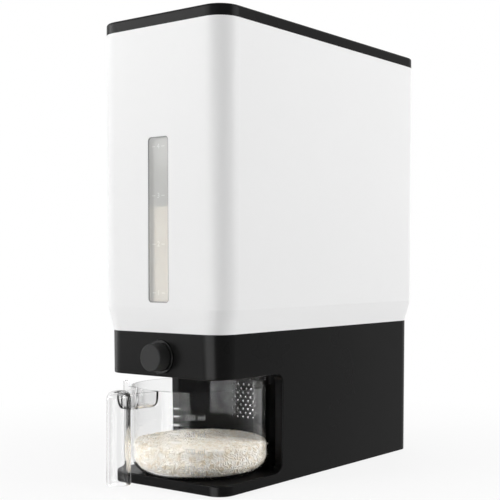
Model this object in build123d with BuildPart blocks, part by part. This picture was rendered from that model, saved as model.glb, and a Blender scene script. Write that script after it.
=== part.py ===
from build123d import *

import os
from math import atan2, cos, degrees, hypot, pi, radians, sin, sqrt, tan

# Rice dispenser: a white storage bin on a black base, with a push button that opens a
# shutter over a clear measuring cup. The cup stands in an open bay and pulls out like a
# drawer. Millimetres. The front faces -Y, the floor is Z = 0 and X = 0 is the middle.
# Each outline is (width, depth, corner radius) and is centred on the body.

# ---- driving sizes: outside form -----------------------------------------------------
foot_outline = (127.9, 301.1, 13.6)
seam_outline = (130.8, 309.5, 19.0)
shoulder_outline = (140.6, 313.7, 19.4)
rim_outline = (143.8, 317.1, 19.5)
band_height = 37.1
shoulder_rise = 20.1
bin_rise = 237.9
lid_thickness = 9.9
lid_edge_radius = 2.2
foot_stand = 1.0
base_wall = 2.4
bin_wall = 2.6
part_gap = 0.2
slide_gap = 0.15
hand_gap = 0.35

# ---- driving sizes: cup bay ----------------------------------------------------------
tray_top = 9.5
tray_plate = 2.4
bay_height = 85.3
ceiling_plate = 2.4
jamb_setback = 33.9
bay_corner = 9.0
opening_edge = 0.9
recess_room = 7.0
liner_wall = 2.2
tray_shelf_margin = 4.0

# ---- driving sizes: measuring cup ----------------------------------------------------
cup_setback = 50.7
cup_radius = 60.0
cup_wall = 2.0
cup_height = 74.3
cup_corner = 15.0
handle_angle = -97.0
handle_reach = 90.0
handle_radius = 10.0
handle_wall = 2.3
handle_bottom_lift = 0.4
handle_rise = 2.0
handle_crown = 6.0
trough_half_width = 13.0
trough_depth = 14.0
trough_corner = 9.5
trough_wall = 1.7
thumb_tab_height = 9.0
thumb_tab_thickness = 1.8
thumb_tab_reach = 77.0
thumb_tab_width = 6.0
spout_angle = 42.0
spout_reach = 4.0
spout_radius = 9.0
spout_height = 17.0
spout_tip = 0.3
drain_radius = 1.15
drain_pitch = 6.3
drain_rise = 3.7
drain_rows = 9
drain_columns = 9
drain_angle = 75.0
drain_top = 5.0

# ---- driving sizes: button and shutter -----------------------------------------------
button_rise = 16.7
button_radius = 11.5
button_reach = 13.2
button_wall = 2.0
button_edge = 1.3
skirt_clearance = 1.0
collar_radius = 14.5
collar_wall = 1.9
collar_proud = 1.5
collar_flange = 1.8
rod_radius = 3.0
rod_clearance = 0.05
outlet_width = 48.0
outlet_length = 10.0
outlet_setback = 61.7
shutter_thickness = 3.0
shutter_lap = 1.3
shutter_margin = 5.6
guide_wall = 5.8
guide_floor = 5.8
gasket_rim = 4.0
chute_drop = 0.9
chute_wall = 1.8
chute_gap = 0.6
chute_corner = 4.0
chute_mouth_corner = 2.8
chute_flange = 2.0
chute_lip = 4.0
chute_widening = 2.0
chute_taper = 4.0
chute_spread = 8.0
spring_radius = 8.0
spring_wire = 1.2
spring_turns = 7
spring_closed = 17.5
web_thickness = 2.0
boss_length = 8.0
boss_width = 12.0
boss_height = 9.0
boss_clearance = 2.0
shutter_overlap = 4.0
guide_end = 1.5
guide_cover = 2.85
guide_ear_reach = 26.0
guide_ear_inset = 5.0
ear_plate = 3.0
guide_end_wall = 2.0
shutter_slot_trim = 0.3
plate_corner = 2.0
slot_corner = 1.5
guide_corner = 3.0
mouth_corner = 1.0
hub_radius = 5.5
hub_length = 7.5
rod_end_margin = 1.2
collar_edge = 0.6

# ---- driving sizes: hopper, window, lid hinge ----------------------------------------
hopper_wall = 2.0
hopper_side_slope = 48.7
hopper_back_slope = 28.0
bin_floor = 2.5
window_width = 23.0
window_sill = 5.0
window_height = 139.2
window_corner = 3.2
window_rubber = 0.7
pane_lip = 5.0
pane_thickness = 2.2
pane_recess = 0.4
pane_edge = 0.3
gasket_lip = 0.8
hopper_hole_gap = 5.0
hopper_gap = 0.4
hopper_drop = 3.0
hopper_headroom = 10.0
hopper_rim_gap = 2.0
hopper_rib_gap = 4.0
hopper_rib_spacing = 70.0
locating_rib = 3.0
bin_boss_height = 9.0
bin_hole_depth = 7.0
guide_hole_depth = 10.0
hole_bottom_gap = 1.0
hopper_corner = 6.0
ear_foot_drop = 2.0
ear_foot_rise = 1.0
ear_root = 3.0
hinge_pin_radius = 1.5
hinge_clearance = 0.05
barrel_relief = 0.2
ear_width = 12.0
ear_spacing = 70.0
pin_bay_width = 30.0
barrel_margin = 0.6
ear_slot_gap = 0.8
pin_end = 50.0
pin_setback = 1.0
ledge_height = 1.2
ledge_lift = 0.6
ledge_reach = 0.4
ledge_sink = 0.5
lid_rib_depth = 5.0
lid_rib_pitch = 52.0
lid_ribs = 5
lid_plate = 2.4
lid_skirt_depth = 9.0
lid_skirt_gap = 1.6
lid_skirt_wall = 2.0
seal_height = 3.6
seal_gap = 0.5
seal_fit = 0.05
seal_lip = 0.15
seal_lip_height = 1.8

# ---- driving sizes: fasteners, ribs and feet -----------------------------------------
post_radius = 4.5
cover_post_sink = 1.2
bin_post_sink = 0.6
collar_pad_margin = 0.8
cut_reach = 20.0
front_post_setback = 34.0
back_post_inset = 26.0
back_post_height = 22.0
cover_row_inset = 40.0
cover_post_height = 24.0
short_screw = 3.2
long_screw = 12.0
screw_recess = 6.0
rib_clearance = 0.8
rib_spacing = 56.0
rib_thickness = 1.6
foot_inset = 26.0
foot_spacing = 88.0
screw_radius = 1.6
screw_clearance = 0.1
screw_head_radius = 3.1
screw_head_height = 2.2
screw_head_angle = 82.0
skin_tolerance = 0.01
guide_screw_reach = 9.0
driver_span = 2.8
driver_width = 0.7
driver_depth = 1.2
cover_plate = 2.4
foot_radius = 7.0
foot_sink = 0.8
foot_edge = 0.4

# ---- places worked out from the driving sizes ----------------------------------------
bay_ceiling = tray_top + bay_height
base_foot = (0.0, *foot_outline)
base_seam = (bay_ceiling + band_height, *seam_outline)
bin_shoulder = (base_seam[0] + shoulder_rise, *shoulder_outline)
bin_rim = (bin_shoulder[0] + bin_rise, *rim_outline)
lid_back = bin_rim[2] / 2
recess_radius = cup_radius + recess_room
button_height = bay_ceiling + button_rise
button_travel = outlet_length + shutter_lap - shutter_slot_trim
window_bottom = bin_shoulder[0] + window_sill
window_top = window_bottom + window_height


def outline(height):
    """Outer outline of the body at one height."""
    for low, high in ((base_foot, base_seam), (base_seam, bin_shoulder), (bin_shoulder, bin_rim)):
        if height <= high[0]:
            share = (height - low[0]) / (high[0] - low[0])
            return (height,) + tuple(a + (b - a) * share for a, b in zip(low[1:], high[1:]))
    return (height,) + bin_rim[1:]


front_face = -outline(bay_ceiling)[2] / 2
cup_y = front_face + cup_setback
bay_back = cup_y + jamb_setback
outlet_y = front_face + outlet_setback
cup_bottom = tray_top + part_gap
cup_top = cup_bottom + cup_height
handle_x = handle_reach * cos(radians(handle_angle))
handle_y = cup_y + handle_reach * sin(radians(handle_angle))

# The frame's origin is on the floor, in the middle of the whole object's box, so the
# body's own middle stands a little behind it.
body_y = (-(handle_y - handle_radius) - lid_back) / 2


def level(height, x=0.0, y=0.0):
    """Plane facing up, at a height above the floor."""
    return Plane((x, body_y + y, height))


def facing_front(y, z=0.0, x=0.0):
    """Plane facing -Y with its own Y pointing up."""
    return Plane((x, body_y + y, z), x_dir=(1, 0, 0), z_dir=(0, -1, 0))


def facing_side(x):
    """Plane facing +X, drawn in (Y, Z)."""
    return Plane((x, body_y, 0), x_dir=(0, 1, 0), z_dir=(1, 0, 0))


def around_cup(angle, distance, height):
    """Plane facing away from the cup's axis, with its own Y pointing up."""
    out = (cos(radians(angle)), sin(radians(angle)), 0)
    across = (-out[1], out[0], 0)
    place = (distance * out[0], body_y + cup_y + distance * out[1], height)
    return Plane(place, x_dir=across, z_dir=out)


def facing_down(height, x, y):
    """Plane facing the floor, for holes drilled from below."""
    return Plane((x, body_y + y, height), x_dir=(1, 0, 0), z_dir=(0, 0, -1))


def rounded_loft(low, high, inset=0.0, mode=Mode.ADD):
    """Straight-sided loft from one rounded outline up to another, drawn in all round."""
    sections = []
    for height, width, depth, corner in (low, high):
        with BuildSketch(level(height)) as section:
            RectangleRounded(width - 2 * inset, depth - 2 * inset, corner - inset)
        sections.append(section.sketch)
    loft(sections, ruled=True, mode=mode)


def rounded_plate(bottom, thickness, inset, front=None, back=None):
    """Flat plate in the body's outline, cut off at a front and a back line."""
    _, width, depth, corner = outline(bottom)
    front = -depth if front is None else front
    back = depth if back is None else back
    with BuildSketch(level(bottom)) as plate:
        RectangleRounded(width - 2 * inset, depth - 2 * inset, corner - inset)
        with Locations((0, (front + back) / 2)):
            Rectangle(2 * width, back - front, mode=Mode.INTERSECT)
    extrude(plate.sketch, amount=thickness)


def bay_block(grow, front, low_x, high_x, mode):
    """Block shaped like the bay seen from the side, open at the front, for a span of X."""
    low, high = tray_top - grow, bay_ceiling + grow
    back = bay_back + grow
    with BuildSketch(facing_side(low_x)) as side:
        with Locations(((front + back) / 2, (low + high) / 2)):
            Rectangle(back - front, high - low)
        fillet(side.vertices().group_by(Axis.X)[-1], bay_corner + grow)
    extrude(side.sketch, amount=high_x - low_x, mode=mode)


def round_posts(places, radius, bottom, top, mode=Mode.ADD):
    """Upright round posts, or round holes, at several places."""
    with BuildSketch(level(bottom)) as rounds:
        with Locations(*places):
            Circle(radius)
    extrude(rounds.sketch, amount=top - bottom, mode=mode)


def driver_crosses(places, bottom):
    """Cross-shaped driver recesses, cut up into screw heads that face the floor."""
    with BuildSketch(level(bottom)) as crosses:
        with Locations(*places):
            Rectangle(driver_span, driver_width)
            Rectangle(driver_width, driver_span)
    extrude(crosses.sketch, amount=driver_depth, mode=Mode.SUBTRACT)


on_base = (Align.CENTER, Align.CENTER, Align.MIN)

# ---- places in the base --------------------------------------------------------------
ceiling = outline(bay_ceiling)
ceiling_half = (ceiling[1] - base_wall) / 2
cover_bottom = foot_stand
cover_top = cover_bottom + cover_plate
jamb_back = bay_back + base_wall
jamb_x = sqrt(recess_radius**2 - (jamb_back - cup_y) ** 2)
recess_back = cup_y + recess_radius
tray_middle = (front_face + recess_back) / 2
cover_post_x = base_foot[1] / 2 - base_wall - post_radius + cover_post_sink
bin_post_x = ceiling_half - post_radius + bin_post_sink
front_post_y = front_face + front_post_setback
back_post_y = base_foot[2] / 2 - base_wall - back_post_inset
bin_posts = [(side * bin_post_x, y) for y in (front_post_y, back_post_y) for side in (-1, 1)]
cover_rows = (front_face + cover_row_inset, recess_back - cover_row_inset, back_post_y)
cover_posts = [(side * cover_post_x, y) for y in cover_rows for side in (-1, 1)]
foot_rows = (front_face + foot_inset, -front_face - foot_inset)
foot_places = [(side * foot_spacing / 2, y) for y in foot_rows for side in (-1, 1)]
back_post_bottom = base_seam[0] - back_post_height
front_screw_seat = bay_ceiling + screw_head_height + screw_recess
back_screw_seat = back_post_bottom + screw_head_height

# ---- places in the mechanism ---------------------------------------------------------
button_wall_y = -outline(button_height)[2] / 2
button_front = button_wall_y - button_reach
collar_front = button_wall_y - collar_proud
collar_seat = collar_front + collar_flange
collar_inner = button_radius + hand_gap
sleeve_radius = collar_inner + collar_wall
button_floor = button_front + button_wall
web_front = button_floor + button_travel + spring_closed
button_skirt_end = web_front - button_travel - skirt_clearance
shutter_bottom = button_height - shutter_thickness / 2
shutter_top = button_height + shutter_thickness / 2
boss_front = web_front + web_thickness + part_gap
boss_back = boss_front + boss_length
guide_front = boss_back + button_travel + boss_clearance
outlet_front = outlet_y - outlet_length / 2
outlet_back = outlet_y + outlet_length / 2
shutter_slot_back = outlet_front - shutter_lap
shutter_back = outlet_back + shutter_overlap
guide_back = shutter_back + button_travel + guide_end + guide_end_wall
shutter_half = outlet_width / 2 + shutter_margin
channel_half = shutter_half + slide_gap
channel_bottom = shutter_bottom - slide_gap
channel_top = shutter_top + slide_gap
guide_bottom = channel_bottom - guide_floor
guide_top = channel_top + guide_cover
guide_half = channel_half + guide_wall
guide_ear_x = outlet_width / 2 + guide_ear_reach
guide_ears = [
    (side * guide_ear_x, y)
    for y in (guide_front + guide_ear_inset, guide_back - guide_ear_inset)
    for side in (-1, 1)
]
chute_top = tuple(a + 2 * chute_wall + chute_widening for a in (outlet_width, outlet_length))
chute_low = (chute_top[0] - chute_widening - chute_taper, chute_top[1] - chute_widening + chute_spread)
chute_bottom = bay_ceiling - chute_drop

# ---- places in the hopper, the lid and its hinge -------------------------------------
hopper_side_run = 1 / tan(radians(hopper_side_slope))
hopper_back_run = 1 / tan(radians(hopper_back_slope))
hopper_front_rise = window_bottom - pane_lip - hopper_rim_gap - guide_top
hopper_front_run = (outlet_front + bin_shoulder[2] / 2 - bin_wall) / hopper_front_rise
hopper_top = guide_top + (bin_rim[2] / 2 - outlet_back) / hopper_back_run + hopper_headroom
lid_bottom = bin_rim[0] + part_gap
lid_top = lid_bottom + lid_thickness
hinge_z = (lid_bottom + lid_top) / 2
hinge_y = lid_back - lid_thickness / 2
hinge_barrel = lid_thickness / 2 - barrel_relief
barrel_depth = lid_thickness + barrel_margin
ear_radius = hinge_barrel - slide_gap
skirt_bottom = lid_bottom - lid_skirt_depth
seal_bottom = skirt_bottom + ledge_height + ledge_lift
floor_top = base_seam[0] + bin_floor

os.makedirs("parts", exist_ok=True)


def write(piece, name):
    """Label one finished piece and write it under the same name."""
    piece.part.label = name
    export_step(piece.part, f"parts/{name}.step")
    print(name, round(piece.part.volume), "mm3")


def rims_bay(edge):
    """True for an edge of the bay's opening in the body's outer skin."""
    for spot in (edge @ 0, edge @ 0.5, edge @ 1):
        _, width, depth, corner = outline(spot.Z)
        across = max(abs(spot.X) - width / 2 + corner, 0)
        along = max(abs(spot.Y - body_y) - depth / 2 + corner, 0)
        on_skin = abs(hypot(across, along) - corner) < skin_tolerance
        in_bay = tray_top - skin_tolerance < spot.Z < bay_ceiling + skin_tolerance
        if not (on_skin and in_bay and spot.Y - body_y < bay_back + skin_tolerance):
            return False
    return True


# ======================= base housing =======================
# A tub with an open top and an open underside. The band over the bay carries the button,
# the tray under it carries the cup, and the closed part behind holds the recess liner.
with BuildPart() as base_housing:
    rounded_loft(outline(foot_stand), base_seam)
    rounded_loft(outline(foot_stand), base_seam, inset=base_wall, mode=Mode.SUBTRACT)
    rounded_plate(
        tray_top - tray_plate, tray_plate, base_wall / 2, back=recess_back + tray_shelf_margin
    )
    # The ceiling of the bay reaches back over the round recess.
    with BuildSketch(level(bay_ceiling)) as ceiling_sketch:
        with Locations((0, jamb_back - base_foot[2] / 2)):
            Rectangle(ceiling[1], base_foot[2])
        with Locations((0, cup_y)):
            Circle(recess_radius + liner_wall)
        RectangleRounded(
            ceiling[1] - base_wall, ceiling[2] - base_wall, ceiling[3], mode=Mode.INTERSECT
        )
    extrude(amount=ceiling_plate)
    # Return flanges line the two side openings, then the bay is cut right through.
    flange_front = bay_back - bay_corner - base_wall
    bay_block(base_wall, flange_front, jamb_x, ceiling_half, Mode.ADD)
    bay_block(base_wall, flange_front, -ceiling_half, -jamb_x, Mode.ADD)
    bay_block(0.0, -bin_rim[2], -bin_rim[1], bin_rim[1], Mode.SUBTRACT)
    # Posts for the screws that hold the bin, and for the screws of the bottom cover.
    round_posts(bin_posts[:2], post_radius, bay_ceiling, base_seam[0] - part_gap)
    round_posts(bin_posts[2:], post_radius, back_post_bottom, base_seam[0] - part_gap)
    round_posts(cover_posts[:4], post_radius, cover_top, tray_top - tray_plate)
    round_posts(cover_posts[4:], post_radius, cover_top, cover_top + cover_post_height)
    # Ribs under the tray.
    with BuildSketch(level(cover_top + rib_clearance)):
        with Locations((-rib_spacing / 2, tray_middle), (rib_spacing / 2, tray_middle)):
            Rectangle(rib_thickness, recess_back - front_face - 4 * base_wall)
    extrude(amount=tray_top - tray_plate - cover_top - rib_clearance)
    # Round pad on the front wall for the button's collar.
    with BuildSketch(facing_front(front_face + base_wall, button_height)):
        Circle(collar_radius + collar_pad_margin)
    extrude(amount=front_face + base_wall - collar_seat)
    with BuildSketch(facing_front(collar_seat, button_height)):
        Circle(collar_radius + part_gap)
    extrude(amount=base_wall, mode=Mode.SUBTRACT)
    with BuildSketch(facing_front(front_face + cut_reach / 2, button_height)):
        Circle(sleeve_radius + part_gap)
    extrude(amount=cut_reach, mode=Mode.SUBTRACT)
    # Hole in the ceiling for the rice chute.
    with BuildSketch(level(bay_ceiling)):
        with Locations((0, outlet_y)):
            RectangleRounded(
                chute_top[0] + 2 * chute_gap, chute_low[1] + 2 * chute_gap, chute_corner + chute_gap
            )
    extrude(amount=ceiling_plate, mode=Mode.SUBTRACT)
    # Screw holes, with a wider pocket below for the head of each bin screw.
    hole = screw_radius + screw_clearance
    pocket = screw_head_radius + screw_clearance
    round_posts(bin_posts[:2], hole, bay_ceiling, base_seam[0], Mode.SUBTRACT)
    round_posts(bin_posts[2:], hole, back_post_bottom, base_seam[0], Mode.SUBTRACT)
    round_posts(bin_posts[:2], pocket, bay_ceiling, front_screw_seat, Mode.SUBTRACT)
    round_posts(bin_posts[2:], pocket, back_post_bottom, back_screw_seat, Mode.SUBTRACT)
    round_posts(cover_posts[:4], hole, cover_top, cover_top + short_screw, Mode.SUBTRACT)
    round_posts(cover_posts[4:], hole, cover_top, cover_top + long_screw, Mode.SUBTRACT)
    # One small rounding runs all round the bay's outer edge.
    fillet([edge for edge in base_housing.edges() if rims_bay(edge)], opening_edge)

write(base_housing, "base_housing")

# ======================= liner of the round recess =======================
# Glossy curved back wall that the cup nests into, with two flanges behind the jambs.
with BuildPart() as bay_liner:
    with BuildSketch(level(tray_top)):
        with Locations((0, cup_y)):
            Circle(recess_radius + liner_wall)
            Circle(recess_radius, mode=Mode.SUBTRACT)
        with Locations((0, jamb_back + part_gap / 2 + recess_radius)):
            Rectangle(4 * recess_radius, 2 * recess_radius, mode=Mode.INTERSECT)
        flange_inner = jamb_x + liner_wall / 2
        flange_outer = base_foot[1] / 2 - base_wall - part_gap
        for side in (-1, 1):
            with Locations((
                side * (flange_inner + flange_outer) / 2, jamb_back + part_gap / 2 + liner_wall / 2
            )):
                Rectangle(flange_outer - flange_inner, liner_wall)
    extrude(amount=bay_ceiling - tray_top)

write(bay_liner, "bay_liner")

# ======================= bottom cover, feet and cover screws =======================
with BuildPart() as bottom_cover:
    rounded_loft(outline(cover_bottom), outline(cover_top), inset=base_wall + part_gap)
    round_posts(foot_places, foot_radius + part_gap / 2, 0, cover_bottom + foot_sink, Mode.SUBTRACT)
    for x, y in cover_posts:
        with Locations(facing_down(cover_bottom, x, y)):
            CounterSinkHole(
                radius=screw_radius + screw_clearance,
                counter_sink_radius=screw_head_radius + screw_clearance,
                depth=cover_plate,
                counter_sink_angle=screw_head_angle,
            )

write(bottom_cover, "bottom_cover")

with BuildPart() as feet:
    round_posts(foot_places, foot_radius, 0, cover_bottom + foot_sink)
    chamfer(feet.edges().group_by(Axis.Z)[0], foot_edge)

write(feet, "rubber_feet")

with BuildPart() as cover_screws:
    head_drop = (screw_head_radius - screw_radius) / tan(radians(screw_head_angle / 2))
    for x, y in cover_posts:
        reach = long_screw if y == back_post_y else short_screw
        with Locations(level(cover_bottom, x, y)):
            Cone(screw_head_radius, screw_radius, head_drop, align=on_base)
            Cylinder(screw_radius, cover_plate + reach - screw_clearance, align=on_base)
    driver_crosses(cover_posts, cover_bottom)

write(cover_screws, "cover_screws")

# ======================= button: collar, cap, push rod and return spring =======================
with BuildPart() as button_collar:
    with BuildSketch(facing_front(collar_seat, button_height)):
        Circle(collar_radius)
    extrude(amount=collar_flange)
    fillet(button_collar.edges().group_by(Axis.Y)[0], collar_edge)
    with BuildSketch(facing_front(web_front + web_thickness, button_height)):
        Circle(sleeve_radius)
    extrude(amount=web_front + web_thickness - collar_seat)
    with BuildSketch(facing_front(web_front, button_height)):
        Circle(collar_inner)
    extrude(amount=cut_reach, mode=Mode.SUBTRACT)
    with BuildSketch(facing_front(web_front + web_thickness, button_height)):
        Circle(rod_radius + hand_gap)
    extrude(amount=web_thickness, mode=Mode.SUBTRACT)

write(button_collar, "button_collar")

with BuildPart() as button_cap:
    with BuildSketch(facing_front(button_skirt_end, button_height)):
        Circle(button_radius)
    extrude(amount=button_skirt_end - button_front)
    fillet(button_cap.edges().group_by(Axis.Y)[0], button_edge)
    with BuildSketch(facing_front(button_skirt_end, button_height)):
        Circle(button_radius - button_wall)
        Circle(hub_radius, mode=Mode.SUBTRACT)
    extrude(amount=button_skirt_end - button_floor, mode=Mode.SUBTRACT)
    with BuildSketch(facing_front(button_skirt_end, button_height)):
        Circle(hub_radius)
    extrude(amount=button_skirt_end - button_floor - hub_length, mode=Mode.SUBTRACT)
    with BuildSketch(facing_front(button_floor + hub_length, button_height)):
        Circle(rod_radius + rod_clearance)
    extrude(amount=hub_length, mode=Mode.SUBTRACT)

write(button_cap, "button_cap")

with BuildPart() as push_rod:
    with BuildSketch(facing_front(boss_back - rod_end_margin, button_height)):
        Circle(rod_radius)
    extrude(amount=boss_back - rod_end_margin - button_floor - rod_clearance)
    fillet(push_rod.edges().filter_by(GeomType.CIRCLE), rod_radius / 5)

write(push_rod, "push_rod")


def helix_point(turn):
    """A point of the spring's centre line, and the direction it runs there."""
    angle = 2 * pi * turn
    pitch = spring_length / spring_turns
    across, up = spring_radius * cos(angle), spring_radius * sin(angle)
    place = (across, body_y + spring_front + pitch * turn, button_height + up)
    course = (-2 * pi * up, pitch, 2 * pi * across)
    return Vector(place), Vector(course).normalized()


def biarc_joint(start, start_course, end, end_course):
    """The point where two arcs meet that join two places and leave and reach them smoothly."""
    span = end - start
    both = start_course + end_course
    a = 2 * (start_course.dot(end_course) - 1)
    b = -2 * span.dot(both)
    c = span.dot(span)
    reach = (-b - sqrt(b * b - 4 * a * c)) / (2 * a)
    return (start + start_course * reach + end - end_course * reach) / 2


with BuildPart() as return_spring:
    spring_front = button_floor + spring_wire / 2 + rod_clearance
    spring_length = web_front - rod_clearance - spring_wire / 2 - spring_front
    with BuildLine() as spring_path:
        for quarter in range(4 * spring_turns):
            here, course = helix_point(quarter / 4)
            there, later = helix_point((quarter + 1) / 4)
            joint = biarc_joint(here, course, there, later)
            first = TangentArc(here, joint, tangent=course)
            TangentArc(joint, there, tangent=first % 1)
    with BuildSketch(Plane(spring_path.line @ 0, z_dir=spring_path.line % 0)):
        Circle(spring_wire / 2)
    sweep(path=spring_path.line)

write(return_spring, "return_spring")
spring_points = [helix_point(step / 24)[0] for step in range(24 * spring_turns + 1)]
spring_gap = min(
    (there - here).length - spring_wire
    for step, here in enumerate(spring_points)
    for there in spring_points[step + 12:]
)
print("return_spring least gap to itself", round(spring_gap, 2), "mm")

# ======================= shutter and its guide =======================
with BuildPart() as shutter_plate:
    with BuildSketch(level(shutter_bottom)):
        with Locations((0, (boss_back + shutter_back) / 2)):
            RectangleRounded(2 * shutter_half, shutter_back - boss_back, plate_corner)
    extrude(amount=shutter_thickness)
    with BuildSketch(facing_front(boss_back, button_height)):
        RectangleRounded(boss_width, boss_height, slot_corner)
    extrude(amount=boss_length)
    with BuildSketch(level(shutter_bottom)):
        with Locations((0, shutter_slot_back - outlet_length / 2)):
            RectangleRounded(outlet_width, outlet_length - 2 * shutter_slot_trim, slot_corner)
    extrude(amount=shutter_thickness, mode=Mode.SUBTRACT)
    with BuildSketch(facing_front(boss_back - rod_end_margin + rod_clearance, button_height)):
        Circle(rod_radius + rod_clearance)
    extrude(amount=boss_length, mode=Mode.SUBTRACT)

write(shutter_plate, "shutter_plate")

with BuildPart() as shutter_guide:
    with BuildSketch(level(guide_bottom)):
        with Locations((0, (guide_front + guide_back) / 2)):
            RectangleRounded(2 * guide_half, guide_back - guide_front, guide_corner)
    extrude(amount=guide_top - guide_bottom)
    with BuildSketch(level(guide_top - ear_plate)):
        with Locations(*guide_ears):
            Circle(post_radius)
        for x, y in guide_ears:
            with Locations((x / 2, y)):
                Rectangle(abs(x), 2 * post_radius)
    extrude(amount=ear_plate)
    round_posts(
        guide_ears, screw_radius + screw_clearance, guide_bottom, guide_top, Mode.SUBTRACT
    )
    with BuildSketch(level(channel_bottom)):
        with Locations((0, guide_back - guide_end_wall - base_foot[2] / 2)):
            Rectangle(2 * channel_half, base_foot[2])
    extrude(amount=channel_top - channel_bottom, mode=Mode.SUBTRACT)
    with BuildSketch(level(channel_top)):
        with Locations((0, outlet_y)):
            RectangleRounded(
                outlet_width + 2 * gasket_rim + part_gap,
                outlet_length + 2 * gasket_rim + part_gap,
                plate_corner,
            )
    extrude(amount=guide_cover, mode=Mode.SUBTRACT)
    with BuildSketch(level(guide_bottom)):
        with Locations((0, outlet_y)):
            RectangleRounded(
                outlet_width + chute_widening, outlet_length + chute_widening, slot_corner
            )
    extrude(amount=guide_floor, mode=Mode.SUBTRACT)

write(shutter_guide, "shutter_guide")

with BuildPart() as outlet_gasket:
    with BuildSketch(level(channel_top)):
        with Locations((0, outlet_y)):
            RectangleRounded(
                outlet_width + 2 * gasket_rim, outlet_length + 2 * gasket_rim, plate_corner
            )
            RectangleRounded(outlet_width, outlet_length, mouth_corner, mode=Mode.SUBTRACT)
    extrude(amount=guide_cover)

write(outlet_gasket, "outlet_gasket")



def chute_tube(wall, mode):
    """Tapered tube from the guide down through the ceiling: its outside, or its inside."""
    ends = []
    for height, size, corner in (
        (chute_bottom, chute_low, chute_corner),
        (guide_bottom, chute_top, chute_mouth_corner),
    ):
        with BuildSketch(level(height)) as end:
            with Locations((0, outlet_y)):
                RectangleRounded(size[0] - 2 * wall, size[1] - 2 * wall, corner - wall)
        ends.append(end.sketch)
    loft(ends, ruled=True, mode=mode)


with BuildPart() as outlet_chute:
    chute_tube(0.0, Mode.ADD)
    with BuildSketch(level(guide_bottom - chute_flange)):
        with Locations((0, outlet_y)):
            RectangleRounded(
                chute_top[0] + 2 * chute_lip, chute_top[1] + 2 * chute_lip, chute_corner
            )
    extrude(amount=chute_flange)
    chute_tube(chute_wall, Mode.SUBTRACT)

write(outlet_chute, "outlet_chute")

with BuildPart() as guide_screws:
    for x, y in guide_ears:
        with Locations(level(guide_top - ear_plate - screw_head_height, x, y)):
            Cylinder(screw_head_radius, screw_head_height, align=on_base)
            Cylinder(screw_radius, screw_head_height + ear_plate + guide_screw_reach, align=on_base)
    driver_crosses(guide_ears, guide_top - ear_plate - screw_head_height)

write(guide_screws, "guide_screws")

# ======================= bin shell =======================
# White open-topped box with a chamfered foot, a floor that closes the base, a window in
# the front wall and two hinge ears on the back rim.
floor_outline = outline(floor_top)
hopper_hole = (
    2 * (outlet_width / 2 + (floor_top - guide_top) * hopper_side_run + hopper_hole_gap),
    outlet_front - (floor_top - guide_top) * hopper_front_run - hopper_hole_gap,
    outlet_back + (floor_top - guide_top) * hopper_back_run + hopper_hole_gap,
)
window_middle = (window_top + window_bottom) / 2
front_lean = atan2((bin_rim[2] - bin_shoulder[2]) / 2, bin_rim[0] - bin_shoulder[0])
front_wall = Plane(
    (0, body_y - outline(window_middle)[2] / 2, window_middle),
    x_dir=(1, 0, 0),
    z_dir=(0, -cos(front_lean), -sin(front_lean)),
)
ears = [side * ear_spacing / 2 for side in (-1, 1)]

with BuildPart() as bin_shell:
    rounded_loft(base_seam, bin_shoulder)
    rounded_loft(bin_shoulder, bin_rim)
    rounded_loft(floor_outline, bin_shoulder, inset=bin_wall, mode=Mode.SUBTRACT)
    rounded_loft(bin_shoulder, bin_rim, inset=bin_wall, mode=Mode.SUBTRACT)
    # Rib under the floor that drops inside the base, and hanging posts for the guide.
    with BuildSketch(level(base_seam[0] - locating_rib)):
        inset = base_wall + part_gap
        RectangleRounded(
            base_seam[1] - 2 * inset, base_seam[2] - 2 * inset, base_seam[3] - inset
        )
        inset = base_wall + part_gap + rib_thickness
        RectangleRounded(
            base_seam[1] - 2 * inset,
            base_seam[2] - 2 * inset,
            base_seam[3] - inset,
            mode=Mode.SUBTRACT,
        )
        with Locations(*bin_posts):
            Circle(post_radius + part_gap, mode=Mode.SUBTRACT)
    extrude(amount=locating_rib)
    round_posts(guide_ears, post_radius, guide_top, base_seam[0])
    round_posts(bin_posts, post_radius, floor_top, floor_top + bin_boss_height)
    # Hole in the floor that the hopper drops through.
    with BuildSketch(level(base_seam[0] - locating_rib)):
        with Locations((0, (hopper_hole[1] + hopper_hole[2]) / 2)):
            RectangleRounded(hopper_hole[0], hopper_hole[2] - hopper_hole[1], hopper_corner)
    extrude(amount=bin_floor + 2 * locating_rib, mode=Mode.SUBTRACT)
    hole = screw_radius + screw_clearance
    round_posts(guide_ears, hole, guide_top, guide_top + guide_hole_depth, Mode.SUBTRACT)
    round_posts(bin_posts, hole, base_seam[0], floor_top + bin_hole_depth, Mode.SUBTRACT)
    # Window opening.
    with BuildSketch(front_wall):
        RectangleRounded(window_width, window_height, window_corner)
    extrude(amount=2 * bin_wall, both=True, mode=Mode.SUBTRACT)
    # Hinge ears stand on the back rim.
    for x in ears:
        with BuildSketch(facing_side(x - ear_width / 2)) as ear:
            with BuildLine():
                Polyline(
                    (lid_back, bin_rim[0] - ear_foot_drop),
                    (lid_back, hinge_z),
                    (hinge_y - ear_radius, hinge_z),
                    (hinge_y - ear_radius, bin_rim[0] + ear_foot_rise),
                    (lid_back - bin_wall, bin_rim[0] - ear_root),
                    (lid_back, bin_rim[0] - ear_foot_drop),
                    close=True,
                )
            make_face()
            with Locations((hinge_y, hinge_z)):
                Circle(ear_radius)
        extrude(amount=ear_width)
    for x in ears:
        with BuildSketch(facing_side(x - ear_width / 2)):
            with Locations((hinge_y, hinge_z)):
                Circle(hinge_pin_radius + hinge_clearance)
        extrude(amount=ear_width, mode=Mode.SUBTRACT)

write(bin_shell, "bin_shell")

# ======================= window: rubber surround and clear pane =======================
lip_width = window_width + 2 * pane_lip
lip_height = window_height + 2 * pane_lip
pane_width = window_width - 2 * window_rubber
pane_height = window_height - 2 * window_rubber
pane_corner = window_corner - window_rubber

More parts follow.
